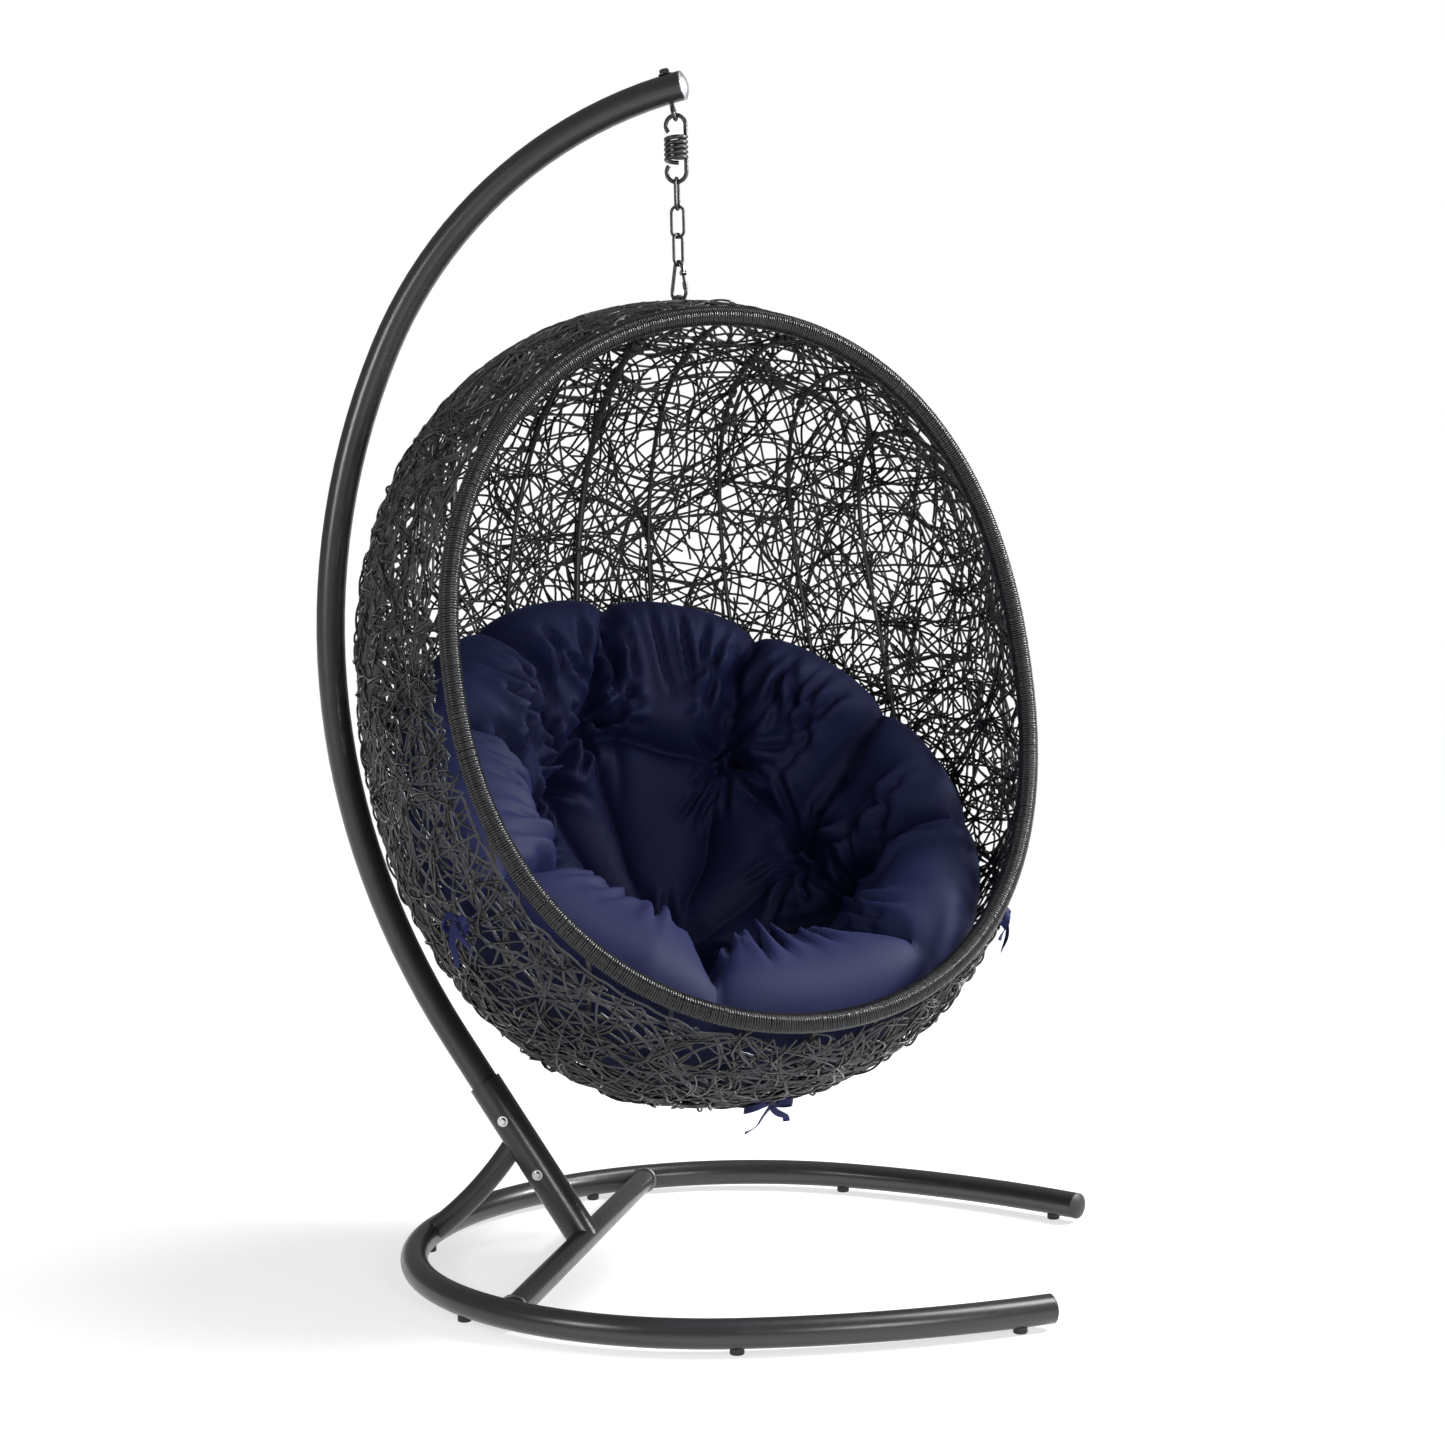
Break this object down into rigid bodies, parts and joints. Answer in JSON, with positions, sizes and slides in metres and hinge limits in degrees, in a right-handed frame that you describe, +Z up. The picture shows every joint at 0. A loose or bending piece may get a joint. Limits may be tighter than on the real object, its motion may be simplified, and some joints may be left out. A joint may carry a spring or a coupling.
{
  "type": "hanging egg chair",
  "caption": "Woven egg-shaped swing basket with a tufted cushion, hung by spring and chain from a curved tubular floor stand.",
  "frame": {"origin": "on the floor at the middle of the overall plan", "axes": "+Z up, -Y the open front of the base, the pole rises at +Y; the stand is symmetric about X = 0"},
  "size_m": [1.097, 1.2647, 1.9735],
  "materials": {
    "frame_paint": "semi-gloss charcoal powder coat",
    "bright_steel": "zinc plated",
    "silver_cap": "satin",
    "black_plastic": "matt",
    "resin_strand": "satin charcoal resin strand",
    "navy_fabric": "woven outdoor polyester, navy"
  },
  "bodies": {
    "stand": {"base_ring": "frame_paint", "ring_end_caps": "black_plastic", "crossbar": "frame_paint", "rear_brace": "frame_paint", "post_socket": "frame_paint", "weld_beads": "frame_paint", "floor_feet": "black_plastic", "curved_pole": "frame_paint", "clamp_bolts": "bright_steel", "clamp_washers": "bright_steel", "clamp_nuts": "bright_steel", "pole_end_cap": "silver_cap", "eye_bolt": "frame_paint", "eye_bolt_washer": "frame_paint", "eye_bolt_nut": "frame_paint"},
    "spring": {"suspension_spring": "frame_paint"},
    "link_1": {"chain_link_1": "frame_paint"},
    "link_2": {"chain_link_2": "frame_paint"},
    "link_3": {"chain_link_3": "frame_paint"},
    "hook": {"snap_hook": "frame_paint", "gate_pin": "bright_steel"},
    "gate": {"snap_gate": "frame_paint"},
    "basket": {"hanging_loop": "frame_paint", "rim_hoop": "frame_paint", "rim_wrap": "resin_strand", "spine_rib": "frame_paint", "frame_ribs": "frame_paint", "woven_shell": "resin_strand", "seat_cushion": "navy_fabric", "cushion_ties_left": "navy_fabric", "cushion_ties_right": "navy_fabric", "cushion_ties_bottom": "navy_fabric"}
  },
  "joints": [
    {"name": "swing_fore_aft", "type": "hinge", "parent": "stand", "child": "spring", "pos_m": [0, -0.01026, 1.88973], "axis": [1, 0, 0], "range_deg": [-12, 2.5]},
    {"name": "bounce", "type": "slide", "parent": "spring", "child": "link_1", "axis": [0, 0, -1], "range_m": [-0.005, 0.03], "stiffness_N_per_m": 25000, "springref_m": -0.02335, "deforming": ["suspension_spring"]},
    {"name": "swing_side", "type": "hinge", "parent": "link_1", "child": "link_2", "pos_m": [0, -0.01026, 1.74888], "axis": [-0.0349, -0.9994, 0], "range_deg": [-5, 5]},
    {"name": "chain_twist", "type": "hinge", "parent": "link_2", "child": "link_3", "pos_m": [0, -0.01026, 1.70088], "axis": [0, 0, 1], "range_deg": [-5, 55]},
    {"name": "basket_swivel", "type": "hinge", "parent": "link_3", "child": "hook", "pos_m": [0, -0.01026, 1.65538], "axis": [0, 0, 1], "range_deg": [-2.5, 30]},
    {"name": "gate_open", "type": "hinge", "parent": "hook", "child": "gate", "pos_m": [-0.00545, -0.01898, 1.6391], "axis": [0.848, -0.5299, 0], "range_deg": [0, 25], "stiffness_Nm_per_rad": 0.05, "springref_deg": -11.46},
    {"name": "basket_nod", "type": "hinge", "parent": "hook", "child": "basket", "pos_m": [0, -0.01026, 1.60068], "axis": [0.606, -0.7955, 0], "range_deg": [-4, 3]}
  ]
}
